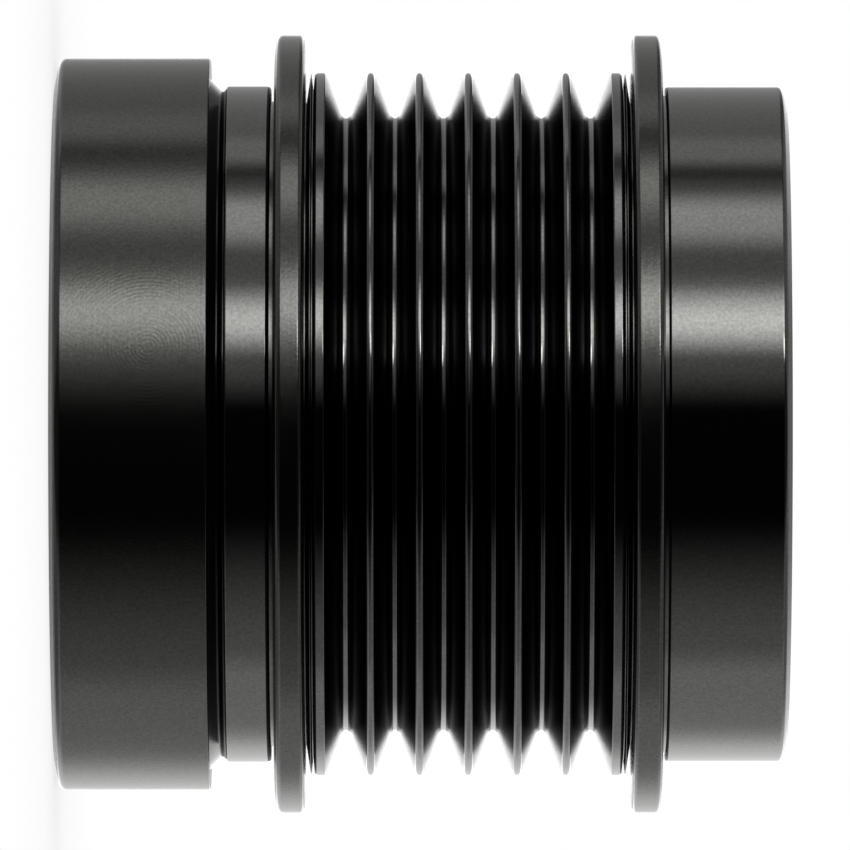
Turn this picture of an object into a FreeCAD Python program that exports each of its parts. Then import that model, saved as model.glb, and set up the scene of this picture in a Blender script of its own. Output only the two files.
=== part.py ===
import FreeCAD, Part
import math
import os
from collections import namedtuple
from FreeCAD import Vector

os.makedirs("parts", exist_ok=True)

# Overrunning alternator pulley for a six-ribbed belt, in millimetres.
# +Z is the pulley's axis and points from the alternator to the front of the engine.
# z = 0 is the end face of the large ring, on which the pulley stands.
# Radii build outwards from the hub: hub, clutch, clutch race, wall, belt grooves, flanges.
# Heights build upwards from the ring's face: rear bearing, clutch, front bearing, cap.

# Hub
HUB_WALL = 3.97
HUB_COLLAR_OVER_CAM = 0.05
HUB_COLLAR_LENGTH = 9.0
HUB_NOSE = 0.8
HUB_CHAMFER = 0.5
PILOT_R = 8.53
PILOT_LENGTH = 12.0
THREAD_MINOR_R = 7.188
THREAD_LENGTH = 16.0
THREAD_CHAMFER = 0.9
THREAD_RELIEF_LENGTH = 6.0
SERRATION_TIP_R = 7.6
SERRATION_DEPTH = 0.8
SERRATION_TEETH = 33
SERRATION_MOUTH = 0.5

# Roller clutch
CAM_WALL = 1.45
CAM_OVERHANG = 0.2
CAM_TIP_BLUNTING = 0.07
ROLLER_R = 1.75
ROLLER_LENGTH = 14.0
ROLLER_COUNT = 10
ROLLER_EDGE = 0.3
ROLLER_OFFSET = 1.9
ROLLER_SEAT_GAP = 0.02
ROLLER_RACE_GAP = 0.05
CLUTCH_RACE_WALL = 1.8
CLUTCH_LIP_THICKNESS = 1.2
CLUTCH_LIP_HEIGHT = 2.2
CLUTCH_LIP_BEND = 0.6
CLUTCH_CAGE_END_PLAY = 0.2
CLUTCH_CAGE_CAM_GAP = 0.1
CLUTCH_CAGE_BAR_GAP = 0.25
CLUTCH_CAGE_RACE_GAP = 0.33
CLUTCH_CAGE_END_WIDTH = 0.85
CLUTCH_CAGE_END_STEP = 0.1
WINDOW_PLAY = 0.15
SPRING_TRAVEL = 3.1
SPRING_END_GAP = 2.5
SPRING_HEIGHT = 1.5
SPRING_STRIP = 0.15
SPRING_BEND_R = 0.4
SPRING_LEGS = 4
SPRING_GAP = 0.08

# Spacer between the cam ring and the front bearing
SPACER_LENGTH = 3.5
SPACER_PLAY = 0.02

# Ball bearings
REAR_BEARING_SECTION = 11.0
REAR_BALL_R = 3.57
REAR_BALL_COUNT = 10
REAR_CAGE_ROOM = 0.78
FRONT_BEARING_SECTION = 8.5
FRONT_BALL_R = 2.38
FRONT_BALL_COUNT = 13
FRONT_CAGE_ROOM = 0.47
RACE_FIT = 1.05
RACE_DEPTH_IN_BALLS = 0.4
BALL_PLAY = 0.05
BEARING_CORNER_R = 0.6
BALL_CAGE_GAP = 0.45
BALL_CAGE_BACK = 0.55
BALL_CAGE_HORN = 1.0
BALL_CAGE_NOTCH = 1.4
BALL_POCKET_PLAY = 0.12
SEAL_SEAT_DEPTH = 0.7
SEAL_INSET = 0.3
SEAL_THICKNESS = 0.8
SEAL_BEAD = 0.2
SEAL_LIP_GAP = 0.08

# Rim, inside
RING_FACE_INSET = 0.4
RING_MOUTH_CHAMFER = 0.5
CAP_POCKET_DEPTH = 2.95
CAP_LEDGE = 1.0
CAP_POCKET_CHAMFER = 0.5

# Rim, outside
END_TAPER = 0.38
RING_WALL = 3.25
RING_FACE_WIDTH = 0.85
RING_END_R = 0.6
RING_LENGTH = 11.35
RING_EDGE = 0.1
STEP_WALL = 1.75
STEP_LENGTH = 1.0
COLLAR_WALL = 1.26
COLLAR_LENGTH = 3.44
COLLAR_FOOT_DEPTH = 0.42
COLLAR_BEVEL = 0.18
COLLAR_CORNER_R = 0.3
COLLAR_RELIEF_DEPTH = 1.1
RELIEF_WIDTH = 0.29
SLEEVE_WALL = 3.7
SLEEVE_EDGE_R = 0.2
SLEEVE_RELIEF_DEPTH = 0.6
SLEEVE_FACE_WIDTH = 0.62
SLEEVE_END_R = 0.4
FLANGE_WIDTH = 2.24
FLANGE_HEIGHT = 2.7
FLANGE_TAPER = 0.16
FLANGE_TAPER_HEIGHT = 1.5
FLANGE_CORNER_R = 0.36
RING_SIDE_CORNER_R = 0.5
FLANGE_GAP_TOP = 0.39
FLANGE_GAP_FLOOR = 0.06
FLANGE_GAP_DEPTH = 2.2
LIP_TIP_WIDTH = 0.03
LIP_DROP = 0.08
NOTCH_WIDTH = 0.26
NOTCH_FLOOR = 0.04
NOTCH_DEPTH = 1.15
LAND_WIDTH = 0.755
LAND_CORNER_R = 0.12
LAND_NOTCH_CORNER_R = 0.22

# Belt grooves
GROOVE_COUNT = 6
GROOVE_PITCH = 3.56
GROOVE_ANGLE_DEG = 40.0
GROOVE_DEPTH = 3.3
GROOVE_WALL = 3.0
RIB_TIP_WIDTH = 0.5
RIB_TIP_R = 0.32
GROOVE_ROOT_R = 0.42

# Dust cap
CAP_PLAY = 0.05
CAP_INSET = 0.3
CAP_PLATE = 1.1
CAP_SKIRT = 1.2
CAP_EDGE_R = 0.4
CAP_DISH_R = 9.0
CAP_DISH_DEPTH = 0.35

# Lengths worked out from the driving sizes
CLUTCH_CAGE_END = CLUTCH_CAGE_END_WIDTH + CLUTCH_CAGE_END_STEP
CLUTCH_CAGE_LENGTH = ROLLER_LENGTH + 2 * (WINDOW_PLAY + CLUTCH_CAGE_END)
CAM_LENGTH = CLUTCH_CAGE_LENGTH + 2 * CAM_OVERHANG
SPRING_WIDTH = ROLLER_LENGTH - 2 * SPRING_END_GAP
SEAL_END = SEAL_INSET + SEAL_THICKNESS
REAR_BEARING_WIDTH = 2 * (REAR_BALL_R + BALL_CAGE_BACK + REAR_CAGE_ROOM + SEAL_END)
FRONT_BEARING_WIDTH = 2 * (FRONT_BALL_R + BALL_CAGE_BACK + FRONT_CAGE_ROOM + SEAL_END)

# Heights worked out from the driving sizes
REAR_Z = RING_FACE_INSET
REAR_END_Z = REAR_Z + REAR_BEARING_WIDTH
CAM_Z = REAR_END_Z + HUB_COLLAR_LENGTH
SPACER_Z = CAM_Z + CAM_LENGTH
FRONT_Z = SPACER_Z + SPACER_LENGTH
FRONT_END_Z = FRONT_Z + FRONT_BEARING_WIDTH
HUB_END_Z = FRONT_END_Z + HUB_NOSE
RIM_END_Z = FRONT_END_Z + CAP_POCKET_DEPTH
CAM_MIDDLE_Z = CAM_Z + CAM_LENGTH / 2
COLLAR_Z = RING_LENGTH + STEP_LENGTH
TRACK_Z = COLLAR_Z + COLLAR_LENGTH + RELIEF_WIDTH

# Radii worked out from the driving sizes
HUB_R = PILOT_R + HUB_WALL
CAM_FLAT_R = HUB_R + CAM_WALL
HUB_COLLAR_R = CAM_FLAT_R + HUB_COLLAR_OVER_CAM
ROLLER_HEIGHT = CAM_FLAT_R + ROLLER_SEAT_GAP + ROLLER_R
CLUTCH_RACE_R = math.hypot(ROLLER_HEIGHT, ROLLER_OFFSET) + ROLLER_R + ROLLER_RACE_GAP
RIM_BORE_R = CLUTCH_RACE_R + CLUTCH_RACE_WALL
REAR_SEAT_R = HUB_R + REAR_BEARING_SECTION
FRONT_SEAT_R = HUB_R + FRONT_BEARING_SECTION
CAP_POCKET_R = FRONT_SEAT_R + CAP_LEDGE
RING_R = REAR_SEAT_R + RING_WALL
COLLAR_R = REAR_SEAT_R + COLLAR_WALL
SLEEVE_R = FRONT_SEAT_R + SLEEVE_WALL
GROOVE_FLOOR_R = RIM_BORE_R + GROOVE_WALL
LAND_R = GROOVE_FLOOR_R + GROOVE_DEPTH
FLANGE_R = LAND_R + FLANGE_HEIGHT

Bearing = namedtuple("Bearing", "name z width seat_r ball_r ball_count")
REAR_BEARING = Bearing(
    "rear_bearing", REAR_Z, REAR_BEARING_WIDTH, REAR_SEAT_R, REAR_BALL_R, REAR_BALL_COUNT
)
FRONT_BEARING = Bearing(
    "front_bearing", FRONT_Z, FRONT_BEARING_WIDTH, FRONT_SEAT_R, FRONT_BALL_R, FRONT_BALL_COUNT
)


def in_section(a, b):
    """A point of a section drawn beside the axis: a is the radius, b the height."""
    return Vector(a, 0, b)


def in_plan(a, b):
    """A point of an outline drawn square to the axis."""
    return Vector(a, b, 0)


def rounded_face(corners, place=in_section):
    """Flat face through the corners (a, b) or (a, b, radius), rounded where a radius is given."""
    points = [place(corner[0], corner[1]) for corner in corners]
    starts = []
    ends = []
    edges = []
    for i, corner in enumerate(corners):
        point = points[i]
        to_last = points[i - 1] - point
        to_next = points[(i + 1) % len(points)] - point
        radius = corner[2] if len(corner) > 2 else 0
        if radius == 0:
            starts.append(point)
            ends.append(point)
            edges.append(None)
            continue
        half = to_last.getAngle(to_next) / 2
        setback = min(radius / math.tan(half), 0.45 * min(to_last.Length, to_next.Length))
        radius = setback * math.tan(half)
        last_way = Vector(to_last).normalize()
        next_way = Vector(to_next).normalize()
        inward = (last_way + next_way).normalize()
        start = point + last_way * setback
        end = point + next_way * setback
        middle = point + inward * (radius / math.sin(half) - radius)
        starts.append(start)
        ends.append(end)
        edges.append(Part.Arc(start, middle, end).toShape())
    outline = []
    for i, edge in enumerate(edges):
        if edge is not None:
            outline.append(edge)
        target = starts[(i + 1) % len(starts)]
        if (target - ends[i]).Length > 1e-6:
            outline.append(Part.makeLine(ends[i], target))
    return Part.Face(Part.Wire(outline))


def turned(corners):
    """Solid of revolution about the pulley's axis from a section of (radius, height) corners."""
    return rounded_face(corners).revolve(Vector(0, 0, 0), Vector(0, 0, 1), 360)


def tube(inner_r, outer_r, z, length):
    """Plain ring about the axis."""
    return turned([
        (inner_r, z),
        (outer_r, z),
        (outer_r, z + length),
        (inner_r, z + length),
    ])


def regular_prism(count, flat_r, z, length):
    """Prism with count sides about the axis; the middle of its first side lies on +X."""
    corner_r = flat_r / math.cos(math.pi / count)
    corners = []
    for i in range(count):
        angle = 2 * math.pi * (i + 0.5) / count
        corners.append((corner_r * math.cos(angle), corner_r * math.sin(angle)))
    face = rounded_face(corners, in_plan)
    face.translate(Vector(0, 0, z))
    return face.extrude(Vector(0, 0, length))


def around(shape, count):
    """List of count copies of the shape, evenly spaced about the axis."""
    copies = []
    for i in range(count):
        copy = shape.copy()
        copy.rotate(Vector(0, 0, 0), Vector(0, 0, 1), 360 * i / count)
        copies.append(copy)
    return copies


# Rim

def track_side(middle_z, direction, outer_corner_r):
    """Section corners from the first rib flank out to the flange's outer face.

    direction is -1 for the ring's side of the belt track and +1 for the sleeve's side.
    Outwards lie the land, a narrow notch, a thin lip, the gap at the flange's foot and the flange.
    """
    land_start = GROOVE_COUNT * GROOVE_PITCH / 2 - RIB_TIP_WIDTH / 2
    land_end = land_start + LAND_WIDTH
    notch_middle = land_end + NOTCH_WIDTH / 2
    lip_start = land_end + NOTCH_WIDTH
    lip_end = lip_start + LIP_TIP_WIDTH
    flange_start = lip_end + FLANGE_GAP_TOP
    flange_end = flange_start + FLANGE_WIDTH
    notch_r = LAND_R - NOTCH_DEPTH
    lip_r = LAND_R - LIP_DROP
    gap_r = LAND_R - FLANGE_GAP_DEPTH
    taper_r = FLANGE_R - FLANGE_TAPER_HEIGHT
    offsets = [
        (LAND_R, land_start, LAND_CORNER_R),
        (LAND_R, land_end, LAND_NOTCH_CORNER_R),
        (notch_r, notch_middle - NOTCH_FLOOR / 2),
        (notch_r, notch_middle + NOTCH_FLOOR / 2),
        (lip_r, lip_start),
        (lip_r, lip_end),
        (gap_r, flange_start - FLANGE_GAP_FLOOR),
        (gap_r, flange_start),
        (taper_r, flange_start),
        (FLANGE_R, flange_start + FLANGE_TAPER, FLANGE_CORNER_R),
        (FLANGE_R, flange_end - FLANGE_TAPER, outer_corner_r),
        (taper_r, flange_end),
    ]
    return [(corner[0], middle_z + direction * corner[1]) + corner[2:] for corner in offsets]


def belt_grooves(middle_z):
    """Section corners of the V grooves and the rib tips between them, upwards along the axis."""
    tangent = math.tan(math.radians(GROOVE_ANGLE_DEG / 2))
    mouth_half = (GROOVE_PITCH - RIB_TIP_WIDTH) / 2
    floor_half = mouth_half - GROOVE_DEPTH * tangent
    corners = []
    for i in range(GROOVE_COUNT):
        groove_z = middle_z + (i - (GROOVE_COUNT - 1) / 2) * GROOVE_PITCH
        corners.append((GROOVE_FLOOR_R, groove_z - floor_half, GROOVE_ROOT_R))
        corners.append((GROOVE_FLOOR_R, groove_z + floor_half, GROOVE_ROOT_R))
        if i < GROOVE_COUNT - 1:
            corners.append((LAND_R, groove_z + mouth_half, RIB_TIP_R))
            corners.append((LAND_R, groove_z + mouth_half + RIB_TIP_WIDTH, RIB_TIP_R))
    return corners


def make_rim():
    """The outer body, turned from one piece: ring, collar, belt track between flanges, sleeve."""
    track_half = GROOVE_COUNT * GROOVE_PITCH / 2 - RIB_TIP_WIDTH / 2
    track_half += LAND_WIDTH + NOTCH_WIDTH + LIP_TIP_WIDTH + FLANGE_GAP_TOP + FLANGE_WIDTH
    middle_z = TRACK_Z + track_half
    sleeve_z = middle_z + track_half + RELIEF_WIDTH
    mouth_r = REAR_SEAT_R + RING_MOUTH_CHAMFER
    pocket_mouth_r = CAP_POCKET_R + CAP_POCKET_CHAMFER
    corners = [
        (mouth_r, 0),
        (mouth_r + RING_FACE_WIDTH, 0),
        (RING_R, END_TAPER, RING_END_R),
        (RING_R, RING_LENGTH, RING_EDGE),
        (REAR_SEAT_R + STEP_WALL, RING_LENGTH),
        (COLLAR_R - COLLAR_FOOT_DEPTH, COLLAR_Z),
        (COLLAR_R, COLLAR_Z + COLLAR_BEVEL, COLLAR_CORNER_R),
        (COLLAR_R, TRACK_Z - RELIEF_WIDTH, COLLAR_CORNER_R),
        (COLLAR_R - COLLAR_RELIEF_DEPTH, TRACK_Z - RELIEF_WIDTH),
        (COLLAR_R - COLLAR_RELIEF_DEPTH, TRACK_Z),
    ]
    corners += reversed(track_side(middle_z, -1, RING_SIDE_CORNER_R))
    corners += belt_grooves(middle_z)
    corners += track_side(middle_z, 1, FLANGE_CORNER_R)
    corners += [
        (SLEEVE_R - SLEEVE_RELIEF_DEPTH, sleeve_z - RELIEF_WIDTH),
        (SLEEVE_R - SLEEVE_RELIEF_DEPTH, sleeve_z),
        (SLEEVE_R, sleeve_z, SLEEVE_EDGE_R),
        (SLEEVE_R, RIM_END_Z - END_TAPER, SLEEVE_END_R),
        (pocket_mouth_r + SLEEVE_FACE_WIDTH, RIM_END_Z),
        (pocket_mouth_r, RIM_END_Z),
        (CAP_POCKET_R, RIM_END_Z - CAP_POCKET_CHAMFER),
        (CAP_POCKET_R, FRONT_END_Z),
        (FRONT_SEAT_R, FRONT_END_Z),
        (FRONT_SEAT_R, FRONT_Z),
        (RIM_BORE_R, FRONT_Z),
        (RIM_BORE_R, REAR_END_Z),
        (REAR_SEAT_R, REAR_END_Z),
        (REAR_SEAT_R, RING_MOUTH_CHAMFER),
    ]
    return turned(corners)


# Hub

def make_serration():
    """Prism with V teeth all round: what the driving tool's serrated bit fills in the hub."""
    corners = []
    for i in range(SERRATION_TEETH):
        for turn, radius in ((0, SERRATION_TIP_R), (0.5, SERRATION_TIP_R + SERRATION_DEPTH)):
            angle = 2 * math.pi * (i + turn) / SERRATION_TEETH
            corners.append((radius * math.cos(angle), radius * math.sin(angle)))
    start_z = thread_end_z() + THREAD_RELIEF_LENGTH
    face = rounded_face(corners, in_plan)
    face.translate(Vector(0, 0, start_z))
    return face.extrude(Vector(0, 0, HUB_END_Z - start_z))


def thread_end_z():
    """Height at which the thread runs out into its relief."""
    return REAR_Z + PILOT_LENGTH + THREAD_CHAMFER + THREAD_LENGTH


def make_hub():
    """Inner shaft: screws onto the alternator's shaft and carries both bearings and the clutch."""
    serration_r = SERRATION_TIP_R + SERRATION_DEPTH
    thread_z = REAR_Z + PILOT_LENGTH + THREAD_CHAMFER
    relief_end = thread_end_z() + THREAD_RELIEF_LENGTH
    body = turned([
        (PILOT_R + HUB_CHAMFER, REAR_Z),
        (HUB_R - HUB_CHAMFER, REAR_Z),
        (HUB_R, REAR_Z + HUB_CHAMFER),
        (HUB_R, REAR_END_Z),
        (HUB_COLLAR_R, REAR_END_Z),
        (HUB_COLLAR_R, CAM_Z),
        (HUB_R, CAM_Z),
        (HUB_R, HUB_END_Z - HUB_CHAMFER),
        (HUB_R - HUB_CHAMFER, HUB_END_Z),
        (serration_r + SERRATION_MOUTH, HUB_END_Z),
        (SERRATION_TIP_R, HUB_END_Z - SERRATION_MOUTH - SERRATION_DEPTH),
        (SERRATION_TIP_R, relief_end),
        (serration_r, relief_end),
        (serration_r, thread_end_z() + THREAD_CHAMFER),
        (THREAD_MINOR_R, thread_end_z()),
        (THREAD_MINOR_R, thread_z),
        (PILOT_R, thread_z - THREAD_CHAMFER),
        (PILOT_R, REAR_Z + HUB_CHAMFER),
    ])
    return body.cut(make_serration())


# Bearings

def inner_land_r(bearing):
    """Radius of the inner ring beside its race."""
    depth = RACE_DEPTH_IN_BALLS * bearing.ball_r
    return pitch_r(bearing) - bearing.ball_r - BALL_PLAY + depth


def outer_land_r(bearing):
    """Radius of the outer ring beside its race."""
    depth = RACE_DEPTH_IN_BALLS * bearing.ball_r
    return pitch_r(bearing) + bearing.ball_r + BALL_PLAY - depth


def pitch_r(bearing):
    """Radius of the circle through the balls' centres."""
    return (HUB_R + bearing.seat_r) / 2


def race_cutter(bearing, direction):
    """Torus that cuts the race; direction is -1 for the inner ring and +1 for the outer one."""
    groove_r = bearing.ball_r * RACE_FIT
    race_bottom_r = pitch_r(bearing) + direction * (bearing.ball_r + BALL_PLAY)
    cutter = Part.makeTorus(race_bottom_r - direction * groove_r, groove_r)
    cutter.translate(Vector(0, 0, bearing.z + bearing.width / 2))
    return cutter


def make_outer_ring(bearing):
    """Hardened outer ring, with the ball race and a stepped seat for a seal at each end."""
    land_r = outer_land_r(bearing)
    seal_r = land_r + SEAL_SEAT_DEPTH
    top = bearing.z + bearing.width
    blank = turned([
        (seal_r, bearing.z),
        (bearing.seat_r, bearing.z, BEARING_CORNER_R),
        (bearing.seat_r, top, BEARING_CORNER_R),
        (seal_r, top),
        (seal_r, top - SEAL_END),
        (land_r, top - SEAL_END),
        (land_r, bearing.z + SEAL_END),
        (seal_r, bearing.z + SEAL_END),
    ])
    return blank.cut(race_cutter(bearing, 1))


def make_inner_ring(bearing):
    """Hardened inner ring, pressed on the hub."""
    top = bearing.z + bearing.width
    blank = turned([
        (HUB_R, bearing.z, BEARING_CORNER_R),
        (inner_land_r(bearing), bearing.z, BEARING_CORNER_R / 2),
        (inner_land_r(bearing), top, BEARING_CORNER_R / 2),
        (HUB_R, top, BEARING_CORNER_R),
    ])
    return blank.cut(race_cutter(bearing, -1))


def make_balls(bearing):
    """The balls, midway between the races."""
    centre = Vector(pitch_r(bearing), 0, bearing.z + bearing.width / 2)
    return Part.makeCompound(around(Part.makeSphere(bearing.ball_r, centre), bearing.ball_count))


def make_ball_cage(bearing):
    """Crown cage: a ring behind the balls with a pair of horns round each ball."""
    middle = bearing.z + bearing.width / 2
    back = middle - bearing.ball_r - BALL_CAGE_BACK
    ring = tube(
        inner_land_r(bearing) + BALL_CAGE_GAP,
        outer_land_r(bearing) - BALL_CAGE_GAP,
        back,
        middle + BALL_CAGE_HORN - back,
    )
    pocket = Part.makeSphere(bearing.ball_r + BALL_POCKET_PLAY, Vector(pitch_r(bearing), 0, middle))
    notch = Part.makeBox(
        bearing.seat_r,
        BALL_CAGE_NOTCH,
        bearing.ball_r,
        Vector(0, -BALL_CAGE_NOTCH / 2, middle - BALL_CAGE_HORN),
    )
    notch.rotate(Vector(0, 0, 0), Vector(0, 0, 1), 180 / bearing.ball_count)
    return ring.cut(around(pocket, bearing.ball_count) + around(notch, bearing.ball_count))


def make_seal(bearing, outward):
    """Lip seal set in the outer ring; outward is -1 at the lower end and +1 at the upper end."""
    face_z = bearing.z + bearing.width / 2 + outward * (bearing.width / 2 - SEAL_INSET)
    lip_r = inner_land_r(bearing) + SEAL_LIP_GAP
    rim_r = outer_land_r(bearing) + SEAL_SEAT_DEPTH
    waist_r = lip_r + SEAL_THICKNESS
    shoulder_r = rim_r - SEAL_THICKNESS
    depths = [
        (lip_r, SEAL_BEAD, SEAL_BEAD),
        (waist_r, SEAL_BEAD, SEAL_BEAD),
        (waist_r + SEAL_BEAD, SEAL_BEAD * 2),
        (shoulder_r - SEAL_BEAD, SEAL_BEAD * 2),
        (shoulder_r, 0, SEAL_BEAD),
        (rim_r, 0, SEAL_BEAD),
        (rim_r, SEAL_THICKNESS),
        (lip_r, SEAL_THICKNESS, SEAL_BEAD),
    ]
    return turned([(item[0], face_z - outward * item[1]) + item[2:] for item in depths])


# Roller clutch

def make_clutch_race():
    """Drawn hardened sleeve, pressed in the rim, with a lip turned in at each end."""
    reach = CLUTCH_CAGE_LENGTH / 2 + CLUTCH_CAGE_END_PLAY
    lip_r = CLUTCH_RACE_R - CLUTCH_LIP_HEIGHT
    low = CAM_MIDDLE_Z - reach
    high = CAM_MIDDLE_Z + reach
    return turned([
        (lip_r, low - CLUTCH_LIP_THICKNESS),
        (RIM_BORE_R, low - CLUTCH_LIP_THICKNESS, CLUTCH_LIP_BEND + CLUTCH_LIP_THICKNESS),
        (RIM_BORE_R, high + CLUTCH_LIP_THICKNESS, CLUTCH_LIP_BEND + CLUTCH_LIP_THICKNESS),
        (lip_r, high + CLUTCH_LIP_THICKNESS),
        (lip_r, high),
        (CLUTCH_RACE_R, high),
        (CLUTCH_RACE_R, low),
        (lip_r, low),
    ])


def make_cam_ring():
    """Ring pressed on the hub, with one flat ramp for each roller."""
    ramps = regular_prism(ROLLER_COUNT, CAM_FLAT_R, CAM_Z, CAM_LENGTH)
    corner_r = CAM_FLAT_R / math.cos(math.pi / ROLLER_COUNT)
    blank = tube(HUB_R, corner_r - CAM_TIP_BLUNTING, CAM_Z, CAM_LENGTH)
    return blank.common(ramps)


def make_rollers():
    """Rollers wedged between the ramps and the race, on the side that locks when driven."""
    low = CAM_MIDDLE_Z - ROLLER_LENGTH / 2
    roller = turned([
        (0, low),
        (ROLLER_R, low, ROLLER_EDGE),
        (ROLLER_R, low + ROLLER_LENGTH, ROLLER_EDGE),
        (0, low + ROLLER_LENGTH),
    ])
    roller.translate(Vector(ROLLER_HEIGHT, -ROLLER_OFFSET, 0))
    return Part.makeCompound(around(roller, ROLLER_COUNT))


def make_clutch_cage():
    """Moulded cage: windows for rollers and springs, end rings that sit on the cam's flats."""
    low = CAM_MIDDLE_Z - CLUTCH_CAGE_LENGTH / 2
    corner_r = CAM_FLAT_R / math.cos(math.pi / ROLLER_COUNT)
    outer_r = CLUTCH_RACE_R - CLUTCH_CAGE_RACE_GAP
    sleeve = Part.makeCylinder(outer_r, CLUTCH_CAGE_LENGTH, Vector(0, 0, low))
    bore = Part.makeCylinder(
        corner_r + CLUTCH_CAGE_BAR_GAP,
        CLUTCH_CAGE_LENGTH - 2 * CLUTCH_CAGE_END_WIDTH,
        Vector(0, 0, low + CLUTCH_CAGE_END_WIDTH),
    )
    seat = regular_prism(ROLLER_COUNT, CAM_FLAT_R + CLUTCH_CAGE_CAM_GAP, low, CLUTCH_CAGE_LENGTH)
    locked_side = ROLLER_OFFSET + ROLLER_R + WINDOW_PLAY
    spring_side = SPRING_TRAVEL + ROLLER_R - ROLLER_OFFSET
    window = Part.makeBox(
        CLUTCH_RACE_R - HUB_R,
        locked_side + spring_side,
        ROLLER_LENGTH + 2 * WINDOW_PLAY,
        Vector(HUB_R, -locked_side, CAM_MIDDLE_Z - ROLLER_LENGTH / 2 - WINDOW_PLAY),
    )
    return sleeve.cut([bore, seat] + around(window, ROLLER_COUNT))


def folded_strip(points, thickness):
    """Outline of a thin strip bent through the points, with round bends of constant thickness."""
    left = []
    right = []
    for i, point in enumerate(points):
        before = Vector(*points[max(i - 1, 0)])
        here = Vector(*point)
        after = Vector(*points[min(i + 1, len(points) - 1)])
        way_in = here - before if i > 0 else after - here
        way_out = after - here if i < len(points) - 1 else here - before
        normal_in = Vector(-way_in.y, way_in.x, 0).normalize()
        normal_out = Vector(-way_out.y, way_out.x, 0).normalize()
        miter = (normal_in + normal_out).normalize()
        miter = miter * (thickness / 2 / miter.dot(normal_in))
        turn = way_in.cross(way_out).z
        inner_side = 1 if turn > 0 else -1
        bend = SPRING_BEND_R if abs(turn) > 1e-9 else 0
        for side, chain in ((1, left), (-1, right)):
            shift = -thickness / 2 if side == inner_side else thickness / 2
            corner = here + miter * side
            radius = bend + shift if bend else 0
            chain.append((corner.x, corner.y, max(radius, 0)))
    return rounded_face(left + right[::-1], in_plan)


def make_springs():
    """Folded leaf springs that hold each roller against its wedge."""
    start = ROLLER_R - ROLLER_OFFSET + SPRING_GAP + SPRING_STRIP / 2
    end = ROLLER_R - ROLLER_OFFSET + SPRING_TRAVEL - SPRING_GAP - SPRING_STRIP / 2
    low_r = ROLLER_HEIGHT - SPRING_HEIGHT / 2
    points = []
    for i in range(SPRING_LEGS):
        y = start + (end - start) * i / (SPRING_LEGS - 1)
        leg = [(low_r, y), (low_r + SPRING_HEIGHT, y)]
        points += leg if i % 2 == 0 else reversed(leg)
    spring = folded_strip(points, SPRING_STRIP)
    spring.translate(Vector(0, 0, CAM_MIDDLE_Z - SPRING_WIDTH / 2))
    return Part.makeCompound(around(spring.extrude(Vector(0, 0, SPRING_WIDTH)), ROLLER_COUNT))


# Spacer and cap

def make_spacer():
    """Ring that passes the front bearing's clamping load to the cam ring."""
    return tube(HUB_R + SPACER_PLAY, CAM_FLAT_R, SPACER_Z, SPACER_LENGTH)


def make_dust_cap():
    """Moulded cap that closes the front over the tool socket."""
    top = RIM_END_Z - CAP_INSET
    bottom = FRONT_END_Z + CAP_PLAY
    outer_r = CAP_POCKET_R - CAP_PLAY
    skirt_r = outer_r - CAP_SKIRT
    return turned([
        (0, top - CAP_PLATE),
        (skirt_r, top - CAP_PLATE),
        (skirt_r, bottom),
        (outer_r, bottom),
        (outer_r, top, CAP_EDGE_R),
        (CAP_DISH_R, top, CAP_EDGE_R),
        (CAP_DISH_R - CAP_DISH_DEPTH, top - CAP_DISH_DEPTH),
        (0, top - CAP_DISH_DEPTH),
    ])


def export(node, shape):
    """Writes one sub-part, after checking that it is sound."""
    if not shape.isValid():
        raise ValueError(node + " is not a valid solid")
    shape.exportStep("parts/" + node + ".step")
    print(node, len(shape.Solids), round(shape.Volume, 2))


export("rim", make_rim())
export("hub", make_hub())
for bearing in (REAR_BEARING, FRONT_BEARING):
    export(bearing.name + "_outer_ring", make_outer_ring(bearing))
    export(bearing.name + "_inner_ring", make_inner_ring(bearing))
    export(bearing.name + "_balls", make_balls(bearing))
    export(bearing.name + "_ball_cage", make_ball_cage(bearing))
    export(bearing.name + "_lower_seal", make_seal(bearing, -1))
    export(bearing.name + "_upper_seal", make_seal(bearing, 1))
export("clutch_race", make_clutch_race())
export("cam_ring", make_cam_ring())
export("clutch_rollers", make_rollers())
export("clutch_cage", make_clutch_cage())
export("clutch_springs", make_springs())
export("spacer", make_spacer())
export("dust_cap", make_dust_cap())
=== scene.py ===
import math

import bpy
import numpy as np
from mathutils import Matrix


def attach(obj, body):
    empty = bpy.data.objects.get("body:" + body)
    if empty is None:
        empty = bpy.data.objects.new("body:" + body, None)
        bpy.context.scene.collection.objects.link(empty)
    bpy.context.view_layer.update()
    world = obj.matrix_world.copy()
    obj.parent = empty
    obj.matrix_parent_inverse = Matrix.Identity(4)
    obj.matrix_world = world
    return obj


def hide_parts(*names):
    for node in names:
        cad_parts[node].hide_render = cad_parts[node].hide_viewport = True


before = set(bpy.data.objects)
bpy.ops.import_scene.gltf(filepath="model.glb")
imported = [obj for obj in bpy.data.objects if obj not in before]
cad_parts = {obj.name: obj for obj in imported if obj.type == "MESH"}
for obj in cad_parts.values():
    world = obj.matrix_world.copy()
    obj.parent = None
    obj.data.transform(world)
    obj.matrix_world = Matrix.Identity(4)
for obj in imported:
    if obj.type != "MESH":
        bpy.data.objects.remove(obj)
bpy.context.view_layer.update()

# Overrunning alternator pulley, standing on the end face of its large ring. Sizes are in
# millimetres and become metres where a mesh is made. +Z is the pulley's axis.
MM = 0.001

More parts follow.
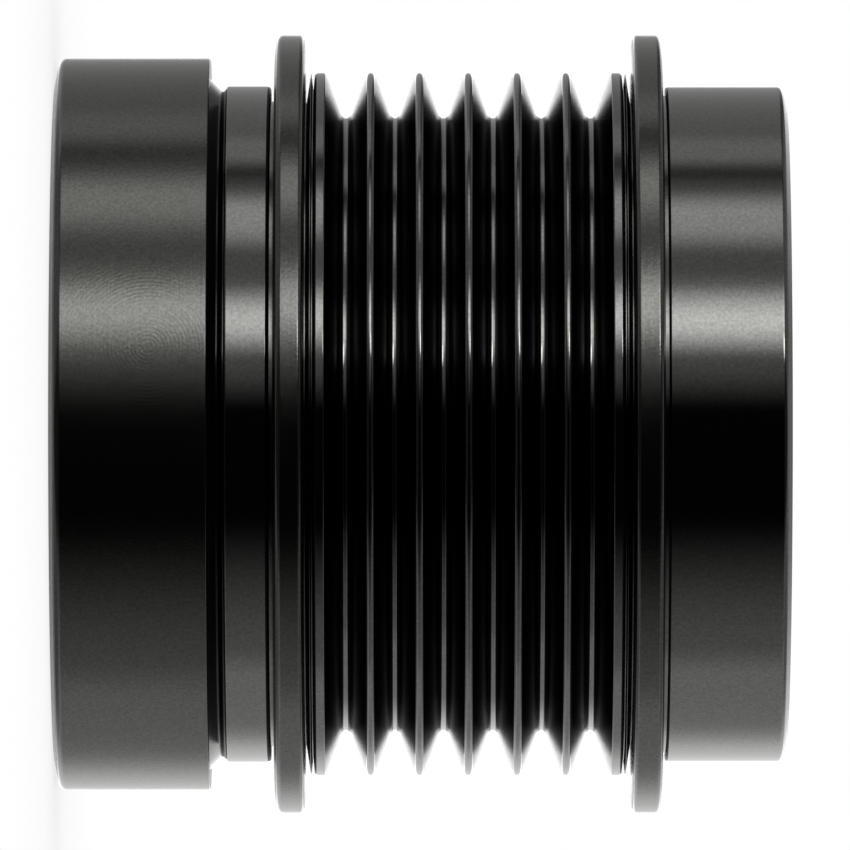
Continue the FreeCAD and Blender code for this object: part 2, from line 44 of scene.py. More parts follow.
# Rim sizes
REAR_SEAT_R = 23.5
FRONT_SEAT_R = 21.0
RIM_BORE_R = 19.434
CAP_POCKET_R = 22.0
RING_R = 26.75
COLLAR_R = 24.76
SLEEVE_R = 24.7
GROOVE_FLOOR_R = 22.434
LAND_R = 25.734
FLANGE_R = 28.434
REAR_END_Z = 12.4
FRONT_Z = 41.5
FRONT_END_Z = 50.5
RIM_END_Z = 53.45
RING_END_Z = 11.35
COLLAR_Z = 12.35
TRACK_Z = 16.08
RELIEF_WIDTH = 0.29
GROOVE_COUNT = 6
GROOVE_PITCH = 3.56
GROOVE_HALF_ANGLE = math.radians(20)
GROOVE_DEPTH = 3.3
GROOVE_ROOT_ROUNDING = 0.42
RIB_TIP_WIDTH = 0.5
RIB_TIP_ROUNDING = 0.32
RIM_COLUMNS = 256

# Widths along the axis beside the grooves, from the outermost rib to the flange's far side
LAND_WIDTH = 0.755
NOTCH_WIDTH = 0.26
LIP_WIDTH = 0.03
GAP_WIDTH = 0.39
FLANGE_WIDTH = 2.24
SIDE_WIDTH = LAND_WIDTH + NOTCH_WIDTH + LIP_WIDTH + GAP_WIDTH + FLANGE_WIDTH
TRACK_HALF = GROOVE_COUNT * GROOVE_PITCH / 2 - RIB_TIP_WIDTH / 2

# Depths below the land, and the flange's slightly tapered outer part: radial length and width
NOTCH_DEPTH = 1.15
LIP_DEPTH = 0.08
GAP_DEPTH = 2.2
TAPER_LENGTH = 1.5
TAPER_WIDTH = 0.16

# Depths of the reliefs beside collar and sleeve, and the axial width of the cone at either end
COLLAR_RELIEF = 1.1
SLEEVE_RELIEF = 0.6
END_CONE = 0.38
SEAT_CHAMFER = 0.5

# Hub sizes
HUB_R = 12.5
HUB_COLLAR_R = 14.0
HUB_Z = 0.4
HUB_END_Z = 51.3
CAM_Z = 21.4
PILOT_R = 8.53
THREAD_MINOR_R = 7.188
THREAD_DEPTH = 0.812
THREAD_PITCH = 1.5
THREAD_Z = 13.3
THREAD_END_Z = 29.3
THREAD_CHAMFER = 0.9
RELIEF_END_Z = 35.3
SERRATION_TIP_R = 7.6
SERRATION_DEPTH = 0.8
SERRATION_TEETH = 33
SERRATION_MOUTH = 0.5
HUB_CHAMFER = 0.5
COLUMNS_PER_TOOTH = 8
ROWS_PER_THREAD_TURN = 12
# Share of half a pitch that is the thread's flat root, and the share that one flank takes
THREAD_ROOT = 0.125
THREAD_FLANK = 0.625
SHARP_EDGE = math.radians(25)

# Smoothness of a rim surface, carried to its material
TURNED = 0.0
INSIDE = 0.5
GROUND = 1.0
# Steepness, as radial run over length, above which a rim face counts as a side
STEEP_FACE = 0.9
STEEP_HOLLOW = 0.34
# Share of a side's length that the rounding at one of its ends may take
ARC_ROOM = 0.45


def track_side(middle_z, direction, outer_corner_r):
    """Outline from the first rib flank out to the flange: land, notch, lip, gap and flange."""
    land_end = TRACK_HALF + LAND_WIDTH
    lip_start = land_end + NOTCH_WIDTH
    lip_end = lip_start + LIP_WIDTH
    flange_start = lip_end + GAP_WIDTH
    flange_end = flange_start + FLANGE_WIDTH
    corners = [
        (LAND_R, TRACK_HALF, 0.12, GROUND),
        (LAND_R, land_end, 0.22, GROUND),
        (LAND_R - NOTCH_DEPTH, land_end + 0.11, 0, GROUND),
        (LAND_R - NOTCH_DEPTH, land_end + 0.15, 0, GROUND),
        (LAND_R - LIP_DEPTH, lip_start, 0, GROUND),
        (LAND_R - LIP_DEPTH, lip_end, 0, GROUND),
        (LAND_R - GAP_DEPTH, flange_start - 0.06, 0, GROUND),
        (LAND_R - GAP_DEPTH, flange_start, 0, GROUND),
        (FLANGE_R - TAPER_LENGTH, flange_start, 0, GROUND),
        (FLANGE_R, flange_start + TAPER_WIDTH, 0.36, TURNED),
        (FLANGE_R, flange_end - TAPER_WIDTH, outer_corner_r, TURNED),
        (FLANGE_R - TAPER_LENGTH, flange_end, 0, TURNED),
    ]
    return [(r, middle_z + direction * z, corner, finish) for r, z, corner, finish in corners]


def belt_grooves(middle_z):
    """Outline of the V grooves and the rib tips between them."""
    mouth_half = (GROOVE_PITCH - RIB_TIP_WIDTH) / 2
    floor_half = mouth_half - GROOVE_DEPTH * math.tan(GROOVE_HALF_ANGLE)
    corners = []
    for i in range(GROOVE_COUNT):
        z = middle_z + (i - (GROOVE_COUNT - 1) / 2) * GROOVE_PITCH
        tip = z + mouth_half
        corners.append((GROOVE_FLOOR_R, z - floor_half, GROOVE_ROOT_ROUNDING, GROUND))
        corners.append((GROOVE_FLOOR_R, z + floor_half, GROOVE_ROOT_ROUNDING, GROUND))
        if i < GROOVE_COUNT - 1:
            corners.append((LAND_R, tip, RIB_TIP_ROUNDING, GROUND))
            corners.append((LAND_R, tip + RIB_TIP_WIDTH, RIB_TIP_ROUNDING, GROUND))
    return corners


def rim_outline():
    """Closed outline of the rim's section: corners (radius, height, rounding, smoothness)."""
    middle_z = TRACK_Z + TRACK_HALF + SIDE_WIDTH
    sleeve_z = middle_z + TRACK_HALF + SIDE_WIDTH + RELIEF_WIDTH
    relief_z = TRACK_Z - RELIEF_WIDTH
    corners = [
        (REAR_SEAT_R + SEAT_CHAMFER, 0, 0, TURNED),
        (REAR_SEAT_R + 1.35, 0, 0, TURNED),
        (RING_R, END_CONE, 0.6, TURNED),
        (RING_R, RING_END_Z, 0.1, TURNED),
        (REAR_SEAT_R + 1.75, RING_END_Z, 0, TURNED),
        (COLLAR_R - 0.42, COLLAR_Z, 0, GROUND),
        (COLLAR_R, COLLAR_Z + 0.18, 0.3, GROUND),
        (COLLAR_R, relief_z, 0.3, GROUND),
        (COLLAR_R - COLLAR_RELIEF, relief_z, 0, GROUND),
        (COLLAR_R - COLLAR_RELIEF, TRACK_Z, 0, TURNED),
    ]
    corners += reversed(track_side(middle_z, -1, 0.5))
    corners += belt_grooves(middle_z)
    corners += track_side(middle_z, 1, 0.36)
    corners += [
        (SLEEVE_R - SLEEVE_RELIEF, sleeve_z - RELIEF_WIDTH, 0, GROUND),
        (SLEEVE_R - SLEEVE_RELIEF, sleeve_z, 0, GROUND),
        (SLEEVE_R, sleeve_z, 0.2, GROUND),
        (SLEEVE_R, RIM_END_Z - END_CONE, 0.4, GROUND),
        (CAP_POCKET_R + 1.12, RIM_END_Z, 0, GROUND),
        (CAP_POCKET_R + SEAT_CHAMFER, RIM_END_Z, 0, INSIDE),
        (CAP_POCKET_R, RIM_END_Z - SEAT_CHAMFER, 0, INSIDE),
        (CAP_POCKET_R, FRONT_END_Z, 0, INSIDE),
        (FRONT_SEAT_R, FRONT_END_Z, 0, INSIDE),
        (FRONT_SEAT_R, FRONT_Z, 0, INSIDE),
        (RIM_BORE_R, FRONT_Z, 0, INSIDE),
        (RIM_BORE_R, REAR_END_Z, 0, INSIDE),
        (REAR_SEAT_R, REAR_END_Z, 0, INSIDE),
        (REAR_SEAT_R, SEAT_CHAMFER, 0, INSIDE),
    ]
    return corners


def rounded(corners, step=math.radians(14)):
    """Points, edge normals and smoothness along a closed outline whose corners are rounded.

    A corner of rounding q and half angle h is replaced by the arc of radius q that touches both
    its sides, at the distance q / tan h from the corner; the arc is cut short where a side has no
    room. Its points are at most one step apart. Each edge of the result keeps the outline's exact
    normal at both its ends, so a flat stays flat beside a small rounding. The last array tells
    which points lie in a hollow arc.
    """
    points, normals, finish, hollow = [], [], [], []
    place = np.array([c[:2] for c in corners], float)
    for i, (_, _, q, smooth) in enumerate(corners):
        here = place[i]
        back = place[i - 1] - here
        ahead = place[(i + 1) % len(place)] - here
        room = min(np.linalg.norm(back), np.linalg.norm(ahead)) * ARC_ROOM
        back /= np.linalg.norm(back)
        ahead /= np.linalg.norm(ahead)
        n_in = np.array([-back[1], back[0]])
        n_out = np.array([ahead[1], -ahead[0]])
        if q == 0:
            points.append(here)
            normals.append((n_in, n_out))
            finish.append(smooth)
            hollow.append(False)
            continue
        half = math.acos(np.clip(back @ ahead, -1, 1)) / 2
        setback = min(q / math.tan(half), room)
        radius = setback * math.tan(half)
        bisector = (back + ahead) / np.linalg.norm(back + ahead)
        centre = here + bisector * radius / math.sin(half)
        convex = 1 if back[0] * ahead[1] - back[1] * ahead[0] < 0 else -1
        turn = convex * (math.pi - 2 * half)
        first = math.atan2(n_in[1], n_in[0])
        for t in np.linspace(0, turn, max(2, math.ceil(abs(turn) / step)) + 1):
            n = np.array([math.cos(first + t), math.sin(first + t)])
            points.append(centre + convex * radius * n)
            normals.append((n, n))
            finish.append(smooth)
            hollow.append(convex < 0)
    return np.array(points), np.array(normals), np.array(finish), np.array(hollow)


def ring_mesh(name, grid, edge_normals=None, finish=None, side=None):
    """Mesh of a closed outline carried round the axis.

    grid[i, j] is outline point i at angle j in millimetres; both directions close on themselves.
    edge_normals[i] holds the outline's normal before and after point i as (radial, axial).
    """
    rows, columns = grid.shape[:2]
    i, j = np.meshgrid(np.arange(rows), np.arange(columns), indexing="ij")
    i2, j2 = (i + 1) % rows, (j + 1) % columns
    quads = np.stack([i * columns + j, i * columns + j2, i2 * columns + j2, i2 * columns + j], -1)
    mesh = bpy.data.meshes.new(name)
    mesh.from_pydata((grid.reshape(-1, 3) * MM).tolist(), [], quads.reshape(-1, 4).tolist())
    mesh.polygons.foreach_set("use_smooth", np.ones(rows * columns, bool))
    if finish is not None:
        layer = mesh.attributes.new("finish", "FLOAT", "POINT")
        layer.data.foreach_set("value", np.repeat(finish, columns).astype(np.float32))
    if side is not None:
        layer = mesh.attributes.new("side", "FLOAT", "FACE")
        layer.data.foreach_set("value", np.repeat(side, columns).astype(np.float32))
    if edge_normals is not None:
        angle = 2 * np.pi * np.stack([j, j2, j2, j], -1) / columns
        near, far = edge_normals[i, 1], edge_normals[i2, 0]
        flat = np.stack([near, near, far, far], 2)
        loops = np.stack([
            flat[..., 0] * np.cos(angle),
            flat[..., 0] * np.sin(angle),
            flat[..., 1],
        ], -1)
        mesh.normals_split_custom_set(loops.reshape(-1, 3).tolist())
    piece = bpy.data.objects.new(name, mesh)
    bpy.context.scene.collection.objects.link(piece)
    return piece


def turned_piece(name, corners, columns):
    """Piece of revolution: point (r, z) of the outline goes to (r cos a, r sin a, z).

    Its steep faces, such as groove flanks and flange sides, are marked as sides, and so are the
    hollow arcs that lead up to them. The rim's material makes the sides rougher and darkens them
    as painted shade.
    """
    points, normals, finish, hollow = rounded(corners)
    a = 2 * np.pi * np.arange(columns) / columns
    grid = np.stack([
        points[:, :1] * np.cos(a),
        points[:, :1] * np.sin(a),
        np.repeat(points[:, 1:], columns, 1),
    ], -1)
    run = np.roll(points, -1, 0) - points
    in_arc = hollow & np.roll(hollow, -1)
    steep = np.where(in_arc, STEEP_HOLLOW, STEEP_FACE)
    side = np.abs(run[:, 0]) > steep * np.linalg.norm(run, axis=1)
    return ring_mesh(name, grid, normals, finish, side)


def hub_body():
    """Hub with its shaft thread and tool serration.

    Each row is a circle round the axis at one height. In the threaded bore the radius is the minor
    radius plus the depth times a trapezoid of the phase z / pitch - angle / turn, so the ridge
    climbs by one pitch a turn. In the socket the radius swings between tooth tip and root, once a
    tooth. Where a chamfer's cone is wider, the cone counts.
    """
    columns = SERRATION_TEETH * COLUMNS_PER_TOOTH
    turn = np.arange(columns) / columns
    serration_r = SERRATION_TIP_R + SERRATION_DEPTH
    tooth = 1 - np.abs(2 * (turn * SERRATION_TEETH % 1) - 1)
    socket = SERRATION_TIP_R + SERRATION_DEPTH * tooth
    rows = [
        (PILOT_R + HUB_CHAMFER, HUB_Z),
        (HUB_R - HUB_CHAMFER, HUB_Z),
        (HUB_R, HUB_Z + HUB_CHAMFER),
        (HUB_R, REAR_END_Z),
        (HUB_COLLAR_R, REAR_END_Z),
        (HUB_COLLAR_R, CAM_Z),
        (HUB_R, CAM_Z),
        (HUB_R, HUB_END_Z - HUB_CHAMFER),
        (HUB_R - HUB_CHAMFER, HUB_END_Z),
    ]
    mouth = SERRATION_DEPTH + SERRATION_MOUTH
    for t in np.linspace(0, mouth, 8):
        rows.append((np.maximum(serration_r + SERRATION_MOUTH - t, socket), HUB_END_Z - t))
    # The relief is a hair wider than the tooth roots, so that no face there has zero width
    rows += [(socket, RELIEF_END_Z), (serration_r + 0.01, RELIEF_END_Z)]
    top, bottom = THREAD_END_Z + THREAD_CHAMFER, THREAD_Z - THREAD_CHAMFER
    steps = round(ROWS_PER_THREAD_TURN * (top - bottom) / THREAD_PITCH)
    for z in np.linspace(top, bottom, steps + 1):
        phase = (z / THREAD_PITCH - turn) % 1
        ridge = np.clip((np.abs(2 * phase - 1) - THREAD_ROOT) / THREAD_FLANK, 0, 1)
        thread = THREAD_MINOR_R + THREAD_DEPTH * (1 - ridge)
        over = max(z - THREAD_END_Z, 0) / THREAD_CHAMFER
        under = max(THREAD_Z - z, 0) / THREAD_CHAMFER
        cone = THREAD_MINOR_R + over * (serration_r - THREAD_MINOR_R)
        cone += under * (PILOT_R - THREAD_MINOR_R)
        rows.append((np.maximum(cone, thread), z))
    rows.append((PILOT_R, HUB_Z + HUB_CHAMFER))
    radius = np.array([np.broadcast_to(r, columns) for r, _ in rows])
    height = np.array([z for _, z in rows])
    a = 2 * np.pi * turn
    grid = np.stack([
        radius * np.cos(a),
        radius * np.sin(a),
        np.repeat(height[:, None], columns, 1),
    ], -1)
    piece = ring_mesh("hub_body", grid)
    piece.data.set_sharp_from_angle(angle=SHARP_EDGE)
    return piece


# Materials

def colour(code):
    """Linear colour of an sRGB hex code."""
    parts = [int(code[k:k + 2], 16) / 255 for k in (1, 3, 5)]
    parts = [c / 12.92 if c <= 0.04045 else ((c + 0.055) / 1.055) ** 2.4 for c in parts]
    return (*parts, 1.0)


def add(tree, kind, settings=None, sockets=None):
    """Adds a node; a socket's entry is a value, or the output that is linked to it."""
    node = tree.nodes.new(kind)
    for key, value in (settings or {}).items():
        setattr(node, key, value)
    for key, value in (sockets or {}).items():
        if isinstance(value, bpy.types.NodeSocket):
            tree.links.new(value, node.inputs[key])
        else:
            node.inputs[key].default_value = value
    return node


def new_material(name):
    """Empty node tree of a new material, and its output node."""
    material = bpy.data.materials.new(name)
    material.use_nodes = True
    material.node_tree.nodes.clear()
    return material, add(material.node_tree, "ShaderNodeOutputMaterial")


def lathe_coordinates(tree):
    """Vector whose first part runs along the section in mm and whose others run round it."""
    place = add(tree, "ShaderNodeTexCoord").outputs["Object"]
    split = add(tree, "ShaderNodeSeparateXYZ", None, {0: place})
    level = add(tree, "ShaderNodeVectorMath", {"operation": "MULTIPLY"}, {0: place, 1: (1, 1, 0)})
    radius = add(tree, "ShaderNodeVectorMath", {"operation": "LENGTH"}, {0: level.outputs[0]})
    along = add(tree, "ShaderNodeMath", {"operation": "ADD"}, {
        0: split.outputs["Z"], 1: radius.outputs["Value"],
    })
    joined = add(tree, "ShaderNodeCombineXYZ", None, {
        0: along.outputs[0], 1: split.outputs["X"], 2: split.outputs["Y"],
    })
    scaled = add(tree, "ShaderNodeVectorMath", {"operation": "SCALE"}, {
        0: joined.outputs[0], "Scale": 1 / MM,
    })
    return scaled.outputs[0]


# Faint arcs on the ring: their number, the azimuth and height of the first one's middle, the
# spacing of its lines, the distances at which it starts and ends to fade, and its upper edge
ARC_COUNT = 5
ARC_AZIMUTH = -1.78
ARC_MIDDLE_Z = 7.2
ARC_SPACING = 0.28
ARC_FADE = (4.0, 8.0)
ARC_TOP_Z = 11.3


def finishing_arcs(tree):
    """Height of faint arcs round some points of the ring, and the share in which they show.

    The distance from the nearest point is measured on the ring's unrolled surface in mm.
    """
    place = add(tree, "ShaderNodeTexCoord").outputs["Object"]
    split = add(tree, "ShaderNodeSeparateXYZ", None, {0: place})
    angle = add(tree, "ShaderNodeMath", {"operation": "ARCTAN2"}, {
        0: split.outputs["Y"], 1: split.outputs["X"],
    })
    turned = add(tree, "ShaderNodeMath", {"operation": "SUBTRACT"}, {
        0: angle.outputs[0], 1: ARC_AZIMUTH,
    })
    near = add(tree, "ShaderNodeMath", {"operation": "WRAP"}, {
        0: turned.outputs[0], 1: math.pi / ARC_COUNT, 2: -math.pi / ARC_COUNT,
    })
    across = add(tree, "ShaderNodeMath", {"operation": "MULTIPLY"}, {0: near.outputs[0], 1: RING_R})
    up = add(tree, "ShaderNodeMath", {"operation": "MULTIPLY_ADD"}, {
        0: split.outputs["Z"], 1: 1 / MM, 2: -ARC_MIDDLE_Z,
    })
    flat = add(tree, "ShaderNodeCombineXYZ", None, {0: across.outputs[0], 1: up.outputs[0]})
    away = add(tree, "ShaderNodeVectorMath", {"operation": "LENGTH"}, {0: flat.outputs[0]})
    phase = add(tree, "ShaderNodeMath", {"operation": "MULTIPLY"}, {
        0: away.outputs["Value"], 1: 2 * math.pi / ARC_SPACING,
    })
    wave = add(tree, "ShaderNodeMath", {"operation": "SINE"}, {0: phase.outputs[0]})
    inside = add(tree, "ShaderNodeMapRange", None, {
        "Value": away.outputs["Value"], "From Min": ARC_FADE[0], "From Max": ARC_FADE[1],
        "To Min": 1.0, "To Max": 0.0,
    })
    low = add(tree, "ShaderNodeMath", {"operation": "LESS_THAN"}, {
        0: up.outputs[0], 1: ARC_TOP_Z - ARC_MIDDLE_Z,
    })
    share = add(tree, "ShaderNodeMath", {"operation": "MULTIPLY"}, {
        0: inside.outputs[0], 1: low.outputs[0],
    })
    return wave.outputs[0], share.outputs[0]


# Depth scales of the marks in metres: turning marks, grain and the finishing arcs
MARK_DEPTH = 0.00005
GRAIN_DEPTH = 0.00003
ARC_DEPTH = 0.0000006
# The middle of a noise pattern, over which its values are spread
NOISE_LOW = 0.3
NOISE_HIGH = 0.7
# Turning marks are about 0.1 mm apart; they are drawn 0.25 mm apart, which a pixel can show.
# Round the axis they change slowly. The grain's two patterns are sized by their count a mm.
MARKS_APART = 0.25
MARKS_ROUND = 0.06
GRAIN_SCALE = 1.6
FINE_GRAIN_SCALE = 4.5
# Values of the turned and of the ground surface
ROUGHNESS = (0.185, 0.08)
MARK_STRENGTH = (0.10, 0.02)
GRAIN_STRENGTH = (0.14, 0.03)
# Spread of the roughness and of the shade over the grain, and a side's added roughness
PATCHINESS = 0.02
SHADE_SPREAD = 0.15
SIDE_ROUGHNESS = 0.12


def blackened_steel():
    """Turned steel with a thin black coating. The ring and flange tops keep fine turning marks,
    a mottled grain and the finishing stone's arcs, so they reflect softly; the track, collar and
    sleeve were ground smooth before coating, so their reflections are sharper. Steep faces, and
    the hollows that lead up to them, are rougher from the form tool; their darker colour and dimmed
    metal edge are painted shade, so they look almost black."""
    material, output = new_material("blackened_turned_steel")
    tree = material.node_tree
    finish = add(tree, "ShaderNodeAttribute", {"attribute_name": "finish"}).outputs["Fac"]
    side = add(tree, "ShaderNodeAttribute", {"attribute_name": "side"}).outputs["Fac"]
    lathe = lathe_coordinates(tree)
    stretched = add(tree, "ShaderNodeVectorMath", {"operation": "MULTIPLY"}, {
        0: lathe, 1: (1 / MARKS_APART, MARKS_ROUND, MARKS_ROUND),
    })
    marks = add(tree, "ShaderNodeTexNoise", None, {
        "Vector": stretched.outputs[0], "Scale": 1.0, "Detail": 3.0, "Roughness": 0.6,
    })
    grain = add(tree, "ShaderNodeTexNoise", None, {
        "Vector": lathe, "Scale": GRAIN_SCALE, "Detail": 4.0, "Roughness": 0.6,
    })
    fine_grain = add(tree, "ShaderNodeTexNoise", None, {
        "Vector": lathe, "Scale": FINE_GRAIN_SCALE, "Detail": 2.0, "Roughness": 0.5,
    })
    rough = add(tree, "ShaderNodeMapRange", None, {
        "Value": finish, "From Min": TURNED, "From Max": GROUND,
        "To Min": ROUGHNESS[0], "To Max": ROUGHNESS[1],
    })
    patchy = add(tree, "ShaderNodeMapRange", None, {
        "Value": grain.outputs["Fac"], "From Min": NOISE_LOW, "From Max": NOISE_HIGH,
        "To Min": -PATCHINESS, "To Max": PATCHINESS,
    })
    roughness = add(tree, "ShaderNodeMath", {"operation": "ADD"}, {
        0: rough.outputs[0], 1: patchy.outputs[0],
    })
    roughness = add(tree, "ShaderNodeMath", {"operation": "MULTIPLY_ADD"}, {
        0: side, 1: SIDE_ROUGHNESS, 2: roughness.outputs[0],
    })
    tint = add(tree, "ShaderNodeMix", {"data_type": "RGBA"}, {
        0: finish, 6: colour("#646461"), 7: colour("#70706E"),
    })
    # Steep faces and the hollows beside them get a darker colour: painted shade
    tint = add(tree, "ShaderNodeMix", {"data_type": "RGBA"}, {
        0: side, 6: tint.outputs[2], 7: colour("#404040"),
    })
    shade = add(tree, "ShaderNodeMapRange", None, {
        "Value": fine_grain.outputs["Fac"], "From Min": NOISE_LOW, "From Max": NOISE_HIGH,
        "To Min": 1 - SHADE_SPREAD, "To Max": 1 + SHADE_SPREAD,
    })
    mottled = add(tree, "ShaderNodeVectorMath", {"operation": "SCALE"}, {
        0: tint.outputs[2], "Scale": shade.outputs[0],
    })
    height = add(tree, "ShaderNodeMapRange", None, {
        "Value": finish, "From Min": TURNED, "From Max": GROUND,
        "To Min": MARK_STRENGTH[0], "To Max": MARK_STRENGTH[1],
    })
    bump = add(tree, "ShaderNodeBump", None, {
        "Strength": height.outputs[0], "Distance": MARK_DEPTH, "Height": marks.outputs["Fac"],
    })
    mottle = add(tree, "ShaderNodeMapRange", None, {
        "Value": finish, "From Min": TURNED, "From Max": GROUND,
        "To Min": GRAIN_STRENGTH[0], "To Max": GRAIN_STRENGTH[1],
    })
    bump = add(tree, "ShaderNodeBump", None, {
        "Strength": mottle.outputs[0], "Distance": GRAIN_DEPTH, "Height": fine_grain.outputs["Fac"],
        "Normal": bump.outputs[0],
    })
    wave, share = finishing_arcs(tree)
    bump = add(tree, "ShaderNodeBump", None, {
        "Strength": share, "Distance": ARC_DEPTH, "Height": wave, "Normal": bump.outputs[0],
    })
    # Painted shade: on steep faces and hollows the metal's bright edge is dimmed, so they read
    # darker
    side_painted_shade_edge = add(tree, "ShaderNodeMix", {"data_type": "RGBA"}, {
        0: side, 6: colour("#FFFFFF"), 7: colour("#BCBCBC"),
    })
    steel = add(tree, "ShaderNodeBsdfPrincipled", None, {
        "Base Color": mottled.outputs[0], "Metallic": 1.0, "Specular Tint": side_painted_shade_edge.outputs[2],
        "Roughness": roughness.outputs[0], "Normal": bump.outputs[0],
    })
    tree.links.new(steel.outputs[0], output.inputs[0])
    return material


def steel(name, code, roughness, marks_apart, depth):
    """Bare steel, turned or ground: marks run round the axis and spread its reflections."""
    material, output = new_material(name)
    tree = material.node_tree
    stretched = add(tree, "ShaderNodeVectorMath", {"operation": "MULTIPLY"}, {
        0: lathe_coordinates(tree), 1: (1 / marks_apart, 0.08, 0.08),
    })
    marks = add(tree, "ShaderNodeTexNoise", None, {
        "Vector": stretched.outputs[0], "Scale": 1.0, "Detail": 3.0,
    })
    rough = add(tree, "ShaderNodeMapRange", None, {
        "Value": marks.outputs["Fac"], "From Min": NOISE_LOW, "From Max": NOISE_HIGH,
        "To Min": roughness * 0.8, "To Max": roughness * 1.2,
    })
    bump = add(tree, "ShaderNodeBump", None, {
        "Strength": depth, "Distance": MARK_DEPTH, "Height": marks.outputs["Fac"],
    })
    bare = add(tree, "ShaderNodeBsdfPrincipled", None, {
        "Base Color": colour(code), "Metallic": 1.0,
        "Roughness": rough.outputs[0], "Normal": bump.outputs[0],
    })
    tree.links.new(bare.outputs[0], output.inputs[0])
    return material


# A mould's grain is finer than 0.1 mm; it is drawn at 0.3 mm, which a pixel can show
MOULD_GRAIN = 0.3


def moulded(name, code, second_code, roughness, patch, depth):
    """Moulded plastic or rubber: a fine spark-eroded grain and faint flow patches."""
    material, output = new_material(name)
    tree = material.node_tree
    place = add(tree, "ShaderNodeTexCoord").outputs["Object"]
    flow = add(tree, "ShaderNodeTexNoise", None, {
        "Vector": place, "Scale": 1 / (patch * MM), "Detail": 4.0, "Roughness": 0.6,
    })
    grain = add(tree, "ShaderNodeTexNoise", None, {
        "Vector": place, "Scale": 1 / (MOULD_GRAIN * MM), "Detail": 2.0,
    })
    tint = add(tree, "ShaderNodeMix", {"data_type": "RGBA"}, {
        0: flow.outputs["Fac"], 6: colour(code), 7: colour(second_code),
    })
    bump = add(tree, "ShaderNodeBump", None, {
        "Strength": depth, "Distance": MARK_DEPTH, "Height": grain.outputs["Fac"],
    })
    body = add(tree, "ShaderNodeBsdfPrincipled", None, {
        "Base Color": tint.outputs[2], "Roughness": roughness, "Normal": bump.outputs[0],
    })
    tree.links.new(body.outputs[0], output.inputs[0])
    return material


hub_steel = steel("turned_hub_steel", "#B4B4B6", 0.30, 0.25, 0.15)
hardened_steel = steel("ground_hardened_steel", "#AAAAAD", 0.20, 0.20, 0.06)
bearing_steel = steel("polished_bearing_steel", "#CFCFD0", 0.12, 0.20, 0.03)
spring_steel = steel("rolled_spring_steel", "#BCBAB6", 0.28, 0.20, 0.05)
glass_filled_nylon = moulded("glass_filled_nylon", "#C4BBA2", "#B9AF93", 0.50, 4.0, 0.30)
seal_rubber = moulded("nitrile_seal_rubber", "#303031", "#29292A", 0.62, 3.0, 0.25)
cap_plastic = moulded("black_nylon_cap", "#303031", "#2A2A2B", 0.45, 6.0, 0.40)

NODE_MATERIALS = {
    "spacer": hub_steel,
    "clutch_race": hardened_steel,
    "cam_ring": hardened_steel,
    "clutch_rollers": bearing_steel,
    "clutch_cage": glass_filled_nylon,
    "clutch_springs": spring_steel,
    "dust_cap": cap_plastic,
}
for bearing in ("rear_bearing", "front_bearing"):
    NODE_MATERIALS[bearing + "_outer_ring"] = bearing_steel
    NODE_MATERIALS[bearing + "_inner_ring"] = bearing_steel
    NODE_MATERIALS[bearing + "_balls"] = bearing_steel
    NODE_MATERIALS[bearing + "_ball_cage"] = glass_filled_nylon
    NODE_MATERIALS[bearing + "_lower_seal"] = seal_rubber
    NODE_MATERIALS[bearing + "_upper_seal"] = seal_rubber
for node_name, material in NODE_MATERIALS.items():
    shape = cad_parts[node_name]
    shape.data.materials.clear()
    shape.data.materials.append(material)

rim = turned_piece("rim_body", rim_outline(), RIM_COLUMNS)
rim.data.materials.append(blackened_steel())
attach(rim, "rim")
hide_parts("rim")
hub = hub_body()
hub.data.materials.append(hub_steel)
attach(hub, "hub")
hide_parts("hub")


# Studio: a closed tent of soft panels round the pulley, which only the camera doesn't see

# Upright sheets: azimuth of the middle, in degrees from the camera towards the picture's top; half
# width of the even part; width of the fading edge; light level; then the middle of the sheet's
# height, half its even height and the height over which it fades, as sines of the elevation
SHEETS = [
    ("backdrop_sheet", -160, 12, 26, 0.60, 0.0, 0.15, 0.50),
    ("lower_side_sheet", -134, 38, 16, 0.29, 0.0, 0.25, 0.50),
    ("lower_side_spill", -110, 24, 56, 0.34, 0.0, 0.25, 0.50),
    ("upper_side_sheet", 138, 34, 12, 0.38, -0.15, 0.15, 0.40),
    ("upper_sheet_edge", 107, 2, 10, 0.20, 0.0, 0.20, 0.30),
    ("side_spill", 85, 4, 10, 0.16, 0.0, 0.12, 0.25),
    ("narrow_strip", 73.5, 2, 13, 0.9, 0.04, 0.06, 0.22),
    ("strip_spill", 50, 26, 20, 0.31, 0.10, 0.12, 0.30),
    ("key_strip", 35.2, 0, 14.0, 2.1, 0.12, 0.12, 0.35),
    ("key_strip_top", 38, 4, 12, 1.3, 0.25, 0.10, 0.20),
    ("key_spot", 27, 1.5, 3.5, 5.5, 0.30, 0.10, 0.13),
]
# Round soft boxes: azimuth, elevation, half width, fading edge, light level
SOFT_BOXES = [
    ("white_backdrop", 180, 0, 7, 4, 0.9),
    ("upper_backdrop", 180, 13, 8, 8, 0.9),
    ("lower_backdrop", 180, -13, 8, 8, 0.9),
    ("upper_back_panel", 180, 50, 12, 14, 0.3),
    ("lower_back_panel", 180, -50, 12, 14, 0.3),
]
# Dim light of the roof and of the ground, both darker towards the camera, and of the rest
ROOF = 0.28
GROUND_GLOW = 0.28
CAMERA_SHADE = 0.12
CLOTH = 0.004
# Sines of the elevations between which the roof and the ground fade
ROOF_FADE = (0.2, 0.6)
GROUND_FADE = (-0.42, -0.12)
# Middle of the shaded part, which faces the camera, and the cosines between which it fades
SHADE_MIDDLE = (0.14, -0.99, 0)
SHADE_FADE = (0.64, 0.94)
TENT_RADIUS = 3
FLOOR_RADIUS = 0.3
# Distances from the axis between which the board fades to plain white, in metres
BOARD_FADE = (0.03, 0.16)
BOARD_WHITE = 0.80
# Overhead lamp, which adds soft light from above and isn't mirrored: width, height and power
LAMP_SIZE = 0.6
LAMP_HEIGHT = 0.9
LAMP_POWER = 5.5


